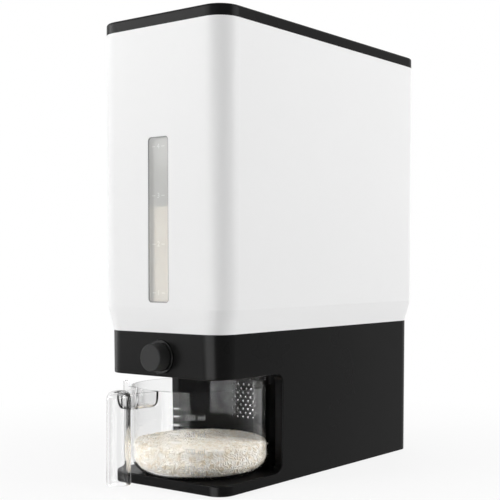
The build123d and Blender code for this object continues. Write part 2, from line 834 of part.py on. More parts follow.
with BuildPart() as window_gasket:
    with BuildSketch(front_wall.offset(-bin_wall)):
        RectangleRounded(window_width, window_height, window_corner)
        RectangleRounded(pane_width, pane_height, pane_corner, mode=Mode.SUBTRACT)
    extrude(amount=bin_wall - pane_recess / 2)
    with BuildSketch(front_wall.offset(-bin_wall - gasket_lip)):
        RectangleRounded(lip_width, lip_height, window_corner + pane_lip)
        RectangleRounded(pane_width, pane_height, pane_corner, mode=Mode.SUBTRACT)
    extrude(amount=gasket_lip)

write(window_gasket, "window_gasket")

with BuildPart() as window_pane:
    with BuildSketch(front_wall.offset(-bin_wall - gasket_lip - pane_thickness)):
        RectangleRounded(lip_width, lip_height, window_corner + pane_lip)
    extrude(amount=pane_thickness)
    with BuildSketch(front_wall.offset(-bin_wall - gasket_lip)):
        RectangleRounded(pane_width - part_gap, pane_height - part_gap, pane_corner)
    extrude(amount=bin_wall + gasket_lip - pane_recess)
    fillet(window_pane.faces().sort_by(Axis.Y)[0].edges(), pane_edge)

write(window_pane, "window_pane")

# ======================= hopper =======================
# Funnel that rests in the bin: steep sides, and a long ramp down from the back wall.


def funnel(drop, mode):
    """Straight-sided funnel from the outlet up, lowered by a drop."""
    rise = hopper_top - guide_top
    with BuildSketch(level(guide_top - drop)) as mouth:
        with Locations((0, outlet_y)):
            Rectangle(outlet_width, outlet_length)
    wide = outlet_width + 2 * rise * hopper_side_run
    front = outlet_front - rise * hopper_front_run
    back = outlet_back + rise * hopper_back_run
    with BuildSketch(level(hopper_top - drop)) as rim:
        with Locations((0, (front + back) / 2)):
            Rectangle(wide, back - front)
    loft([mouth.sketch, rim.sketch], ruled=True, mode=mode)


with BuildPart() as hopper_room:
    rounded_loft(floor_outline, bin_shoulder, inset=bin_wall + hopper_gap)
    rounded_loft(bin_shoulder, bin_rim, inset=bin_wall + hopper_gap)
    with BuildSketch(level(guide_top)):
        with Locations((0, (hopper_hole[1] + hopper_hole[2]) / 2)):
            RectangleRounded(
                hopper_hole[0] - 2 * hopper_gap,
                hopper_hole[2] - hopper_hole[1] - 2 * hopper_gap,
                hopper_corner,
            )
    extrude(amount=floor_top - guide_top)

with BuildPart() as hopper:
    funnel(hopper_drop, Mode.ADD)
    rib_front = hopper_hole[2] + hopper_rib_gap
    # Ribs under the ramp stand on the bin's floor.
    with BuildSketch(level(floor_top)):
        for x in (-hopper_rib_spacing / 2, hopper_rib_spacing / 2):
            with Locations((x, (rib_front + bin_shoulder[2] / 2) / 2)):
                Rectangle(hopper_wall, bin_shoulder[2] / 2 - rib_front)
    extrude(amount=hopper_top - floor_top)
    funnel(0.0, Mode.SUBTRACT)
    # The funnel ends at the bin's walls.
    add(hopper_room.part, mode=Mode.INTERSECT)

write(hopper, "hopper")

with BuildPart() as bin_screws:
    for places, seat in ((bin_posts[:2], front_screw_seat), (bin_posts[2:], back_screw_seat)):
        round_posts(places, screw_head_radius, seat - screw_head_height, seat)
        round_posts(places, screw_radius, seat, floor_top + bin_hole_depth - hole_bottom_gap)
        driver_crosses(places, seat - screw_head_height)

write(bin_screws, "bin_screws")

# ======================= lid, its seal and the hinge pins =======================
# Black lid, hollow below, with a rounded barrel along its back edge. The bin's two ears
# stand in slots in the barrel, and each pin goes in from the open middle of it.
rim_inner = (bin_rim[1] - 2 * bin_wall, bin_rim[2] - 2 * bin_wall, bin_rim[3] - bin_wall)


def ring(bottom, thickness, outer_inset, inner_inset):
    """Upright ring that follows the bin's rim, between two distances in from its wall."""
    with BuildSketch(level(bottom)) as band:
        for inset, mode in ((outer_inset, Mode.ADD), (inner_inset, Mode.SUBTRACT)):
            RectangleRounded(
                rim_inner[0] - 2 * inset,
                rim_inner[1] - 2 * inset,
                rim_inner[2] - inset,
                mode=mode,
            )
    extrude(band.sketch, amount=thickness)


with BuildPart() as lid:
    with BuildSketch(level(lid_bottom)):
        RectangleRounded(bin_rim[1], bin_rim[2], bin_rim[3])
    extrude(amount=lid_thickness)
    fillet(lid.edges().group_by(Axis.Z)[-1], lid_edge_radius)
    # Hollow below, leaving the barrel along the back solid.
    with BuildSketch(level(lid_bottom)):
        RectangleRounded(*rim_inner)
        with Locations((0, lid_back - barrel_depth - bin_rim[2])):
            Rectangle(2 * bin_rim[1], 2 * bin_rim[2], mode=Mode.INTERSECT)
    extrude(amount=lid_thickness - lid_plate, mode=Mode.SUBTRACT)
    skirt_height = lid_skirt_depth + lid_thickness - lid_plate
    ring(skirt_bottom, skirt_height, lid_skirt_gap, lid_skirt_gap + lid_skirt_wall)
    # Ledges above and below the seal.
    for bottom in (seal_bottom - ledge_height, seal_bottom + seal_height):
        ring(bottom, ledge_height, seal_gap + ledge_reach, lid_skirt_gap + ledge_sink)
    # Stiffening ribs under the top.
    with BuildSketch(level(lid_bottom + lid_thickness - lid_plate - lid_rib_depth)):
        for row in range(lid_ribs):
            with Locations((0, (row - (lid_ribs - 1) / 2) * lid_rib_pitch)):
                Rectangle(bin_rim[1] - 2 * (bin_wall + ledge_sink), rib_thickness)
        Rectangle(rib_thickness, bin_rim[2] - 2 * barrel_depth)
    extrude(amount=lid_rib_depth)
    # Round the barrel, then cut the slots and the pin bores.
    with BuildSketch(facing_side(-bin_rim[1])):
        with Locations((lid_back, hinge_z)):
            Rectangle(lid_thickness, 2 * lid_thickness)
        with Locations((hinge_y, hinge_z)):
            Circle(hinge_barrel, mode=Mode.SUBTRACT)
    extrude(amount=2 * bin_rim[1], mode=Mode.SUBTRACT)
    slot_front = hinge_y - ear_radius - ear_slot_gap
    slot_end = lid_back + cut_reach
    slot_middle = (slot_front + slot_end) / 2
    with BuildSketch(level(bin_rim[0] - ear_root - ear_slot_gap)):
        for x in ears:
            with Locations((x, slot_middle)):
                Rectangle(ear_width + 2 * hand_gap, slot_end - slot_front)
    extrude(amount=lid_thickness + ear_root + 2 * ear_slot_gap, mode=Mode.SUBTRACT)
    with BuildSketch(level(lid_bottom)):
        with Locations((0, slot_middle)):
            Rectangle(pin_bay_width, slot_end - slot_front)
    extrude(amount=lid_thickness, mode=Mode.SUBTRACT)
    with BuildSketch(facing_side(-pin_end - hinge_clearance)):
        with Locations((hinge_y, hinge_z)):
            Circle(hinge_pin_radius + hinge_clearance)
    extrude(amount=2 * (pin_end + hinge_clearance), mode=Mode.SUBTRACT)

write(lid, "lid")

with BuildPart() as lid_seal:
    ring(seal_bottom + seal_fit, seal_height - 2 * seal_fit, seal_gap, lid_skirt_gap - seal_fit)
    lip_bottom = seal_bottom + (seal_height - seal_lip_height) / 2
    ring(lip_bottom, seal_lip_height, seal_gap - seal_lip, seal_gap + ledge_reach)

write(lid_seal, "lid_seal")

with BuildPart() as hinge_pins:
    pin_start = pin_bay_width / 2 + pin_setback
    for start in (-pin_end, pin_start):
        with BuildSketch(facing_side(start)):
            with Locations((hinge_y, hinge_z)):
                Circle(hinge_pin_radius)
        extrude(amount=pin_end - pin_start)

write(hinge_pins, "hinge_pins")

# ======================= measuring cup =======================
# Clear round cup with a hollow upright handle, joined to it by an open trough at the rim.
cup_axis = Axis((0, body_y + cup_y, 0), (0, 0, 1))
handle_axis = Axis((handle_x, body_y + handle_y, 0), (0, 0, 1))
handle_foot = cup_bottom + handle_bottom_lift
handle_top = cup_top + handle_rise
spout_place = cup_radius + spout_reach - spout_radius
spout_x = spout_place * cos(radians(spout_angle))
spout_y = cup_y + spout_place * sin(radians(spout_angle))


def turned_cup(inset, mode):
    """Round solid with a rounded lower edge: the cup's outside, or its inside."""
    radius = cup_radius - inset
    bottom = cup_bottom + inset
    corner = cup_corner - inset
    with BuildSketch(facing_front(cup_y)) as half:
        with BuildLine():
            Polyline(
                (radius, bottom + corner), (radius, cup_top), (0, cup_top), (0, bottom),
                (radius - corner, bottom),
            )
            TangentArc((radius - corner, bottom), (radius, bottom + corner), tangent=(1, 0))
        make_face()
    revolve(half.sketch, axis=cup_axis, mode=mode)


def turned_handle(inset, mode):
    """Upright round post with a rounded top: the handle's outside, or its inside."""
    radius = handle_radius - inset
    top = handle_top - inset
    corner = handle_crown - inset
    with BuildSketch(facing_front(handle_y, x=handle_x)) as half:
        with BuildLine():
            Polyline(
                (radius - corner, top), (0, top), (0, handle_foot), (radius, handle_foot),
                (radius, top - corner),
            )
            TangentArc((radius, top - corner), (radius - corner, top), tangent=(0, 1))
        make_face()
    revolve(half.sketch, axis=handle_axis, mode=mode)


def trough(inset, start, end, mode):
    """Open trough with rounded lower corners, between two distances from the cup's axis."""
    half_width = trough_half_width - inset
    with BuildSketch(around_cup(handle_angle, start, cup_top)) as section:
        with Locations((0, -(trough_depth - inset) / 2)):
            Rectangle(2 * half_width, trough_depth - inset)
        fillet(section.vertices().group_by(Axis.Y)[0], trough_corner - inset)
    extrude(section.sketch, amount=end - start, mode=mode)


with BuildPart() as cup:
    turned_cup(0.0, Mode.ADD)
    turned_handle(0.0, Mode.ADD)
    trough(0.0, cup_radius - cup_wall / 2, handle_reach - handle_radius + handle_wall, Mode.ADD)
    # Pouring spout, drawn as a cone that sinks into the wall.
    with Locations(level(cup_top - spout_height, spout_x, spout_y)):
        Cone(spout_tip, spout_radius, spout_height, align=on_base)
    turned_cup(cup_wall, Mode.SUBTRACT)
    with Locations(level(cup_top - spout_height + 2 * cup_wall, spout_x, spout_y)):
        Cone(
            spout_tip, spout_radius - cup_wall, spout_height - 2 * cup_wall,
            align=on_base, mode=Mode.SUBTRACT,
        )
    turned_handle(handle_wall, Mode.SUBTRACT)
    trough(trough_wall, cup_radius, handle_reach - handle_radius, Mode.SUBTRACT)
    # Drain holes in the far wall, in staggered rows.
    step_angle = drain_pitch / cup_radius
    drains = []
    for row in range(drain_rows):
        height = cup_top - drain_top - row * drain_rise
        for column in range(drain_columns - row % 2):
            turn = (column - (drain_columns - 1 - row % 2) / 2) * step_angle
            drains.append(around_cup(drain_angle + degrees(turn), cup_radius - 2 * cup_wall, height))
    with Locations(*drains):
        Cylinder(drain_radius, 4 * cup_wall, align=on_base, mode=Mode.SUBTRACT)
    # Thumb tab across the end of the trough, with its left side standing higher.
    with BuildSketch(around_cup(handle_angle, thumb_tab_reach, cup_top)):
        with Locations((0, -thumb_tab_height / 2)):
            Rectangle(2 * trough_half_width - trough_corner, 2 * thumb_tab_height)
        with Locations((thumb_tab_width / 2 - trough_half_width + trough_corner / 2, 0)):
            Rectangle(thumb_tab_width, 2 * thumb_tab_height)
    extrude(amount=thumb_tab_thickness)

write(cup, "cup")
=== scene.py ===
# %% [markdown]
# # A rice dispenser with a pull-out measuring cup
#
# The solids of the dispenser come from the CAD frame, in metres and at rest. This script
# gives them their finishes, fills the bin and the cup with rice, prints the scales on the
# window and the cup, and sets up a plain pale studio with the camera.

# %% Load the frame
from math import atan2, cos, pi, radians, sin, tan

import bmesh
import bpy
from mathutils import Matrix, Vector, noise


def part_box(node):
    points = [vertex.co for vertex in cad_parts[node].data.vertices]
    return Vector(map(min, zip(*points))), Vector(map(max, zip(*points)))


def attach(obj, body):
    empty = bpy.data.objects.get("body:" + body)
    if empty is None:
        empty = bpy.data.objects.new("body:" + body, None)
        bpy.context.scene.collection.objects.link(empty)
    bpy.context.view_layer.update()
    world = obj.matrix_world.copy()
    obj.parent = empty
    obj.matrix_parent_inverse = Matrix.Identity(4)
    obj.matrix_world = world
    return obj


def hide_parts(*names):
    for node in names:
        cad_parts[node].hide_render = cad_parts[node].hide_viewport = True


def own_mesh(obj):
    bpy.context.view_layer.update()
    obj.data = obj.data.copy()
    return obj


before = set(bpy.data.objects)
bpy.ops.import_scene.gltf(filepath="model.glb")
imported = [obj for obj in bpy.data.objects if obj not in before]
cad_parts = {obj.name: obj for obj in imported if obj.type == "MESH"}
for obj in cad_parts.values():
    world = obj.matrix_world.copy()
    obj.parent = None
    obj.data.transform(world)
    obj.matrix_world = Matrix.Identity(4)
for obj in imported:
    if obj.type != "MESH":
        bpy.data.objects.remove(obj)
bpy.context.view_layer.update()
mm = 0.001

# %% [markdown]
# ## Where things are
#
# A CAD node's place is in its mesh, so its box says where it is. The cup's axis is one
# radius in front of the cup's rearmost point, and the bin's middle is the middle of its box.

# %% Places read from the frame
cup_low, cup_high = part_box("cup")
bin_low, bin_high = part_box("bin_shell")
cup_radius = 60.0 * mm
cup_wall = 2.0 * mm
cup_axis = Vector((0.0, cup_high.y - cup_radius, 0.0))
cup_floor = cup_low.z + cup_wall
body_y = (bin_low.y + bin_high.y) / 2
print("cup axis y", round(cup_axis.y, 5), "cup floor", round(cup_floor, 5), "body y", round(body_y, 5))

# %% [markdown]
# ## Material helpers
#
# Moulded plastic is never one flat colour: its gloss wanders a little and its skin has a
# fine grain. Most of the finishes here use that effect, so it is one shader node group,
# placed in each material with that material's own values. The Principled BSDF and its plain
# numbers stay in the material itself.

# %% A group for the skin of moulded parts


def new_socket(tree, name, kind, way, value=None):
    """Add one named input or output to a node group."""
    socket = tree.interface.new_socket(name=name, in_out=way, socket_type=kind)
    if value is not None:
        socket.default_value = value
    return socket


def moulded_skin_group():
    """Slow colour drift, uneven gloss and a fine grain, all from object coordinates."""
    tree = bpy.data.node_groups.new("moulded_skin", "ShaderNodeTree")
    new_socket(tree, "Color", "NodeSocketColor", "INPUT", (0.8, 0.8, 0.8, 1.0))
    new_socket(tree, "Drift Color", "NodeSocketColor", "INPUT", (0.78, 0.78, 0.78, 1.0))
    new_socket(tree, "Drift Scale", "NodeSocketFloat", "INPUT", 12.0)
    new_socket(tree, "Roughness", "NodeSocketFloat", "INPUT", 0.4)
    new_socket(tree, "Roughness Spread", "NodeSocketFloat", "INPUT", 0.05)
    new_socket(tree, "Grain Scale", "NodeSocketFloat", "INPUT", 1500.0)
    new_socket(tree, "Color", "NodeSocketColor", "OUTPUT")
    new_socket(tree, "Roughness", "NodeSocketFloat", "OUTPUT")
    new_socket(tree, "Height", "NodeSocketFloat", "OUTPUT")
    nodes, links = tree.nodes, tree.links
    given = nodes.new("NodeGroupInput")
    result = nodes.new("NodeGroupOutput")
    place = nodes.new("ShaderNodeTexCoord")
    drift = nodes.new("ShaderNodeTexNoise")
    drift.inputs["Detail"].default_value = 3.0
    links.new(place.outputs["Object"], drift.inputs["Vector"])
    links.new(given.outputs["Drift Scale"], drift.inputs["Scale"])
    blend = nodes.new("ShaderNodeMix")
    blend.data_type = "RGBA"
    links.new(drift.outputs["Fac"], blend.inputs["Factor"])
    links.new(given.outputs["Color"], blend.inputs["A"])
    links.new(given.outputs["Drift Color"], blend.inputs["B"])
    links.new(blend.outputs["Result"], result.inputs["Color"])
    centred = nodes.new("ShaderNodeMath")
    centred.operation = "SUBTRACT"
    centred.inputs[1].default_value = 0.5
    links.new(drift.outputs["Fac"], centred.inputs[0])
    gloss = nodes.new("ShaderNodeMath")
    gloss.operation = "MULTIPLY_ADD"
    gloss.use_clamp = True
    links.new(centred.outputs[0], gloss.inputs[0])
    links.new(given.outputs["Roughness Spread"], gloss.inputs[1])
    links.new(given.outputs["Roughness"], gloss.inputs[2])
    links.new(gloss.outputs[0], result.inputs["Roughness"])
    grain = nodes.new("ShaderNodeTexNoise")
    grain.inputs["Detail"].default_value = 2.0
    links.new(place.outputs["Object"], grain.inputs["Vector"])
    links.new(given.outputs["Grain Scale"], grain.inputs["Scale"])
    links.new(grain.outputs["Fac"], result.inputs["Height"])
    return tree


moulded_skin = moulded_skin_group()
print("group", moulded_skin.name)

# %% Materials made with the group


def grey(value):
    """An opaque grey."""
    return (value, value, value, 1.0)


def moulded(name, color, drift, roughness, spread, grain, depth, **sockets):
    """Material for a moulded part: the skin group feeds colour, gloss and a fine bump.

    Color and drift are the ends of its colour, spread is how far its roughness wanders,
    and grain and depth are the bump's scale and height. The rest are the shader's sockets.
    """
    material = bpy.data.materials.new(name)
    material.use_nodes = True
    nodes, links = material.node_tree.nodes, material.node_tree.links
    shader = nodes["Principled BSDF"]
    skin = nodes.new("ShaderNodeGroup")
    skin.node_tree = moulded_skin
    skin.inputs["Color"].default_value = color
    skin.inputs["Drift Color"].default_value = drift
    skin.inputs["Roughness"].default_value = roughness
    skin.inputs["Roughness Spread"].default_value = spread
    skin.inputs["Grain Scale"].default_value = grain
    bump = nodes.new("ShaderNodeBump")
    bump.inputs["Strength"].default_value = 0.3
    bump.inputs["Distance"].default_value = depth
    links.new(skin.outputs["Color"], shader.inputs["Base Color"])
    links.new(skin.outputs["Roughness"], shader.inputs["Roughness"])
    links.new(skin.outputs["Height"], bump.inputs["Height"])
    links.new(bump.outputs["Normal"], shader.inputs["Normal"])
    for socket, value in sockets.items():
        shader.inputs[socket.replace("_", " ")].default_value = value
    return material


white_shell = moulded(
    "white_shell", grey(0.86), grey(0.845), 0.38, 0.08, 1400, 0.02 * mm, Specular_IOR_Level=0.15,
)
white_inner = moulded(
    "white_inner", (0.80, 0.80, 0.79, 1), (0.77, 0.77, 0.76, 1), 0.55, 0.08, 1000, 0.04 * mm,
)
black_shell = moulded(
    "black_shell", grey(0.004), grey(0.006), 0.28, 0.06, 1600, 0.02 * mm, Specular_IOR_Level=0.05,
)
black_ring = moulded(
    "black_ring", grey(0.006), grey(0.008), 0.22, 0.05, 1600, 0.02 * mm, Specular_IOR_Level=0.1,
)
black_cap = moulded(
    "black_cap", grey(0.029), grey(0.034), 0.60, 0.06, 2200, 0.05 * mm, Specular_IOR_Level=0.08,
)
black_liner = moulded(
    "black_liner", grey(0.002), grey(0.003), 0.05, 0.02, 900, 0.005 * mm, Specular_IOR_Level=0.06,
)
black_inner = moulded(
    "black_inner", grey(0.006), grey(0.009), 0.50, 0.08, 900, 0.04 * mm, Specular_IOR_Level=0.2,
)
rubber = moulded("rubber", grey(0.02), grey(0.027), 0.75, 0.1, 1800, 0.05 * mm)
window_rubber = moulded("window_rubber", grey(0.22), grey(0.20), 0.6, 0.1, 1800, 0.03 * mm)
grey_seal = moulded("grey_seal", grey(0.5), grey(0.46), 0.6, 0.1, 1500, 0.04 * mm)
steel = moulded("steel", grey(0.55), grey(0.48), 0.32, 0.15, 1200, 0.02 * mm, Metallic=1.0)
window_clear = moulded(
    "window_clear", (0.93, 0.93, 0.91, 1), (0.91, 0.91, 0.89, 1), 0.12, 0.05, 1200, 0.01 * mm,
    IOR=1.49, Transmission_Weight=0.62, Specular_Tint=grey(0.5),
)
cup_clear = moulded(
    "cup_clear", grey(0.91), grey(0.90), 0.02, 0.01, 60, 0.01 * mm,
    IOR=1.49, Transmission_Weight=1.0, Specular_Tint=grey(0.1),
)


def let_lamps_through(material, share):
    """Let a share of the lamps' light pass straight through each face of a clear part."""
    nodes, links = material.node_tree.nodes, material.node_tree.links
    rays = nodes.new("ShaderNodeLightPath")
    passing = nodes.new("ShaderNodeBsdfTransparent")
    passing.inputs["Color"].default_value = grey(share)
    mixed = nodes.new("ShaderNodeMixShader")
    links.new(rays.outputs["Is Shadow Ray"], mixed.inputs["Fac"])
    links.new(nodes["Principled BSDF"].outputs["BSDF"], mixed.inputs[1])
    links.new(passing.outputs["BSDF"], mixed.inputs[2])
    links.new(mixed.outputs["Shader"], nodes["Material Output"].inputs["Surface"])


def paint_edge_shade(material, start, edge_shade_color):
    """Paint a clear part darker where it is seen along its face: painted shade for the dark
    surroundings seen through its edges.
    """
    nodes, links = material.node_tree.nodes, material.node_tree.links
    color = nodes["Principled BSDF"].inputs["Base Color"]
    plain = color.links[0].from_socket
    weight = nodes.new("ShaderNodeLayerWeight")
    ramp = nodes.new("ShaderNodeMapRange")
    ramp.interpolation_type = "SMOOTHSTEP"
    ramp.inputs["From Min"].default_value = start
    links.new(weight.outputs["Facing"], ramp.inputs["Value"])
    tint = nodes.new("ShaderNodeMix")
    tint.data_type = "RGBA"
    tint.inputs["B"].default_value = edge_shade_color
    links.new(ramp.outputs["Result"], tint.inputs["Factor"])
    links.new(plain, tint.inputs["A"])
    links.new(tint.outputs["Result"], color)


# Painted shade: the cup is drawn darker where it is seen edge-on.
paint_edge_shade(cup_clear, start=0.55, edge_shade_color=(0.30, 0.29, 0.28, 1))
let_lamps_through(window_clear, share=0.85)
let_lamps_through(cup_clear, share=0.99)

# %% Finishes on the nodes
finishes = {
    "base_housing": black_shell, "bay_liner": black_liner, "bottom_cover": black_inner,
    "rubber_feet": rubber, "cover_screws": steel, "button_collar": black_ring,
    "button_cap": black_cap, "push_rod": steel, "return_spring": steel,
    "shutter_plate": black_inner, "shutter_guide": black_inner, "outlet_gasket": rubber,
    "outlet_chute": black_inner, "guide_screws": steel, "bin_shell": white_shell,
    "window_gasket": window_rubber, "window_pane": window_clear, "hopper": white_inner,
    "bin_screws": steel, "lid": black_shell, "lid_seal": grey_seal, "hinge_pins": steel,
    "cup": cup_clear,
}
for node, finish in finishes.items():
    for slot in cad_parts[node].material_slots:
        slot.material = finish
print("finishes on", len(finishes), "of", len(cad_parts), "nodes")

# %% [markdown]
# ## Rice
#
# Rice is a heap of thousands of small grains. Each heap here is a closed solid with a
# slightly lumpy skin, in a rice colour, and a layer of real grains scattered over the part
# of its skin that can be seen. Geometry Nodes do the scattering: points spread evenly over
# a surface, one small ellipsoid on each, turned along the surface at random.

# %% The rice's colour


def rice_material(name, dark, middle, light):
    """A colour that changes from grain to grain, with a soft glow through each grain."""
    material = bpy.data.materials.new(name)
    material.use_nodes = True
    nodes, links = material.node_tree.nodes, material.node_tree.links
    shader = nodes["Principled BSDF"]
    place = nodes.new("ShaderNodeTexCoord")
    cells = nodes.new("ShaderNodeTexVoronoi")
    cells.inputs["Scale"].default_value = 330.0
    links.new(place.outputs["Object"], cells.inputs["Vector"])
    tone = nodes.new("ShaderNodeSeparateColor")
    links.new(cells.outputs["Color"], tone.inputs["Color"])
    ramp = nodes.new("ShaderNodeValToRGB")
    ramp.color_ramp.elements[0].color = dark
    ramp.color_ramp.elements[1].color = light
    ramp.color_ramp.elements.new(position=0.45).color = middle
    links.new(tone.outputs["Red"], ramp.inputs["Fac"])
    links.new(ramp.outputs["Color"], shader.inputs["Base Color"])
    bump = nodes.new("ShaderNodeBump")
    bump.inputs["Strength"].default_value = 0.35
    bump.inputs["Distance"].default_value = 0.4 * mm
    links.new(cells.outputs["Distance"], bump.inputs["Height"])
    links.new(bump.outputs["Normal"], shader.inputs["Normal"])
    shader.inputs["Roughness"].default_value = 0.5
    shader.inputs["Subsurface Weight"].default_value = 0.15
    shader.inputs["Subsurface Radius"].default_value = (0.9 * mm, 0.7 * mm, 0.5 * mm)
    shader.inputs["Subsurface Scale"].default_value = 1.0
    return material


cup_rice_look = rice_material(
    "rice", dark=(0.82, 0.72, 0.57, 1), middle=(0.96, 0.90, 0.80, 1), light=(0.98, 0.95, 0.88, 1),
)
# Painted shade: the rice in the bin is a darker copy of the cup's rice.
bin_rice_shaded_look = rice_material(
    "rice_in_bin_shaded",
    dark=(0.66, 0.54, 0.40, 1), middle=(0.80, 0.71, 0.59, 1), light=(0.88, 0.81, 0.71, 1),
)
print("materials", cup_rice_look.name, bin_rice_shaded_look.name)

# %% The scatter tree


def link_object(name, data):
    """Put a mesh, a text, a lamp or a camera in the scene as one object at the origin."""
    piece = bpy.data.objects.new(name, data)
    bpy.context.scene.collection.objects.link(piece)
    return piece


def scatter_tree():
    """Spread grains over a surface, each one turned along it at random."""
    tree = bpy.data.node_groups.new("scatter_grains", "GeometryNodeTree")
    new_socket(tree, "Surface", "NodeSocketGeometry", "INPUT")
    new_socket(tree, "Spacing", "NodeSocketFloat", "INPUT", 2.5 * mm)
    new_socket(tree, "Grain Length", "NodeSocketFloat", "INPUT", 4.8 * mm)
    new_socket(tree, "Grain Width", "NodeSocketFloat", "INPUT", 1.9 * mm)
    new_socket(tree, "Tilt", "NodeSocketFloat", "INPUT", 0.3)
    new_socket(tree, "Seed", "NodeSocketInt", "INPUT", 7)
    new_socket(tree, "Material", "NodeSocketMaterial", "INPUT")
    new_socket(tree, "Grains", "NodeSocketGeometry", "OUTPUT")
    nodes, links = tree.nodes, tree.links
    given = nodes.new("NodeGroupInput")
    result = nodes.new("NodeGroupOutput")
    points = nodes.new("GeometryNodeDistributePointsOnFaces")
    points.distribute_method = "POISSON"
    points.inputs["Density Max"].default_value = 1.0e6
    links.new(given.outputs["Surface"], points.inputs["Mesh"])
    links.new(given.outputs["Spacing"], points.inputs["Distance Min"])
    links.new(given.outputs["Seed"], points.inputs["Seed"])
    ball = nodes.new("GeometryNodeMeshUVSphere")
    ball.inputs["Segments"].default_value = 6
    ball.inputs["Rings"].default_value = 4
    ball.inputs["Radius"].default_value = 0.5
    size = nodes.new("ShaderNodeCombineXYZ")
    links.new(given.outputs["Grain Width"], size.inputs["X"])
    links.new(given.outputs["Grain Width"], size.inputs["Y"])
    links.new(given.outputs["Grain Length"], size.inputs["Z"])
    grain = nodes.new("GeometryNodeTransform")
    links.new(ball.outputs["Mesh"], grain.inputs["Geometry"])
    links.new(size.outputs["Vector"], grain.inputs["Scale"])
    laid = nodes.new("GeometryNodeTransform")
    laid.inputs["Rotation"].default_value = (0.0, pi / 2, 0.0)
    links.new(grain.outputs["Geometry"], laid.inputs["Geometry"])
    turn = nodes.new("FunctionNodeRandomValue")
    turn.data_type = "FLOAT_VECTOR"
    links.new(given.outputs["Seed"], turn.inputs["Seed"])
    low = nodes.new("ShaderNodeCombineXYZ")
    high = nodes.new("ShaderNodeCombineXYZ")
    minus = nodes.new("ShaderNodeMath")
    minus.operation = "MULTIPLY"
    minus.inputs[1].default_value = -1.0
    links.new(given.outputs["Tilt"], minus.inputs[0])
    for axis in ("X", "Y"):
        links.new(minus.outputs[0], low.inputs[axis])
        links.new(given.outputs["Tilt"], high.inputs[axis])
    low.inputs["Z"].default_value = -pi
    high.inputs["Z"].default_value = pi
    links.new(low.outputs["Vector"], turn.inputs[0])
    links.new(high.outputs["Vector"], turn.inputs[1])
    placed = nodes.new("GeometryNodeInstanceOnPoints")
    links.new(points.outputs["Points"], placed.inputs["Points"])
    links.new(laid.outputs["Geometry"], placed.inputs["Instance"])
    links.new(points.outputs["Rotation"], placed.inputs["Rotation"])
    spun = nodes.new("GeometryNodeRotateInstances")
    links.new(placed.outputs["Instances"], spun.inputs["Instances"])
    links.new(turn.outputs[0], spun.inputs["Rotation"])
    real = nodes.new("GeometryNodeRealizeInstances")
    links.new(spun.outputs["Instances"], real.inputs["Geometry"])
    smooth = nodes.new("GeometryNodeSetShadeSmooth")
    links.new(real.outputs["Geometry"], smooth.inputs["Geometry"])
    paint = nodes.new("GeometryNodeSetMaterial")
    links.new(smooth.outputs["Geometry"], paint.inputs["Geometry"])
    links.new(given.outputs["Material"], paint.inputs["Material"])
    links.new(paint.outputs["Geometry"], result.inputs["Grains"])
    return tree


scatter_grains = scatter_tree()


def scatter(name, surface, body, look, settings):
    """Run the scatter tree on a surface and keep the result as a plain mesh."""
    modifier = surface.modifiers.new("grains", "NODES")
    modifier.node_group = scatter_grains
    given = {"Material": look, **settings}
    for item in scatter_grains.interface.items_tree:
        if item.in_out == "INPUT" and item.name in given:
            modifier[item.identifier] = given[item.name]
    graph = bpy.context.evaluated_depsgraph_get()
    mesh = bpy.data.meshes.new_from_object(surface.evaluated_get(graph), depsgraph=graph)
    mesh.name = name
    bpy.data.objects.remove(surface)
    grains = link_object(name, mesh)
    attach(grains, body)
    print(name, len(mesh.polygons), "faces", len(mesh.vertices), "points")


# %% [markdown]
# ## Rice in the cup
#
# The heap fills the cup's rounded bottom. Its outline is turned round the cup's axis, a
# little inside the clear wall, and the top is gently heaped. The grains lie on a second skin
# just inside the heap's own, without its flat foot.

# %% The heap in the cup
rice_gap = 0.65 * mm
heap_reach = 0.2 * mm
cup_corner = 13.0 * mm
rice_level = 35.6 * mm
rice_crown = 0.6 * mm
lump_height = 1.0 * mm
lump_scale = 70.0
lump_edge = 6 * mm
tiny = 1e-6
foot_shares = (0.0, 0.25, 0.5)
corner_steps = 8
wall_steps = 5
top_steps = 14
turn_steps = 96


def rice_profile(gap):
    """Points of the heap's half outline, from the middle of its foot to its top middle."""
    radius = cup_radius - cup_wall - gap
    corner = cup_corner - gap
    foot = cup_floor + gap
    points = [(radius * share, foot) for share in foot_shares]
    for step in range(corner_steps + 1):
        angle = pi / 2 * step / corner_steps
        points.append((radius - corner + corner * sin(angle), foot + corner * (1 - cos(angle))))
    for step in range(1, wall_steps + 1):
        rise = (rice_level - foot - corner) * step / wall_steps
        points.append((radius, foot + corner + rise))
    for step in range(1, top_steps + 1):
        share = 1 - step / top_steps
        points.append((radius * share, rice_level + rice_crown * (1 - share**2)))
    return points


def turned_heap(name, gap, first=0):
    """Turn the outline round the cup's axis, from one of its points on, with a lumpy top."""
    shape = bmesh.new()
    rings = []
    for radius, height in rice_profile(gap)[first:]:
        count = turn_steps if radius > tiny else 1
        ring = []
        for step in range(count):
            angle = 2 * pi * step / turn_steps
            spot = Vector((radius * cos(angle), radius * sin(angle), height)) + cup_axis
            if height >= rice_level - tiny:
                inwards = min(1.0, (cup_radius - radius) / lump_edge)
                spot.z += lump_height * noise.noise(spot * lump_scale) * inwards
            ring.append(shape.verts.new(spot))
        rings.append(ring)
    for lower, upper in zip(rings, rings[1:]):
        for step in range(turn_steps):
            corners = [lower[step % len(lower)], lower[(step + 1) % len(lower)]]
            corners += [upper[(step + 1) % len(upper)], upper[step % len(upper)]]
            corners = list(dict.fromkeys(corners))
            if len(corners) > 2:
                shape.faces.new(corners)
    bmesh.ops.recalc_face_normals(shape, faces=shape.faces)
    mesh = bpy.data.meshes.new(name)
    shape.to_mesh(mesh)
    shape.free()
    mesh.materials.append(cup_rice_look)
    for face in mesh.polygons:
        face.use_smooth = True
    return link_object(name, mesh)


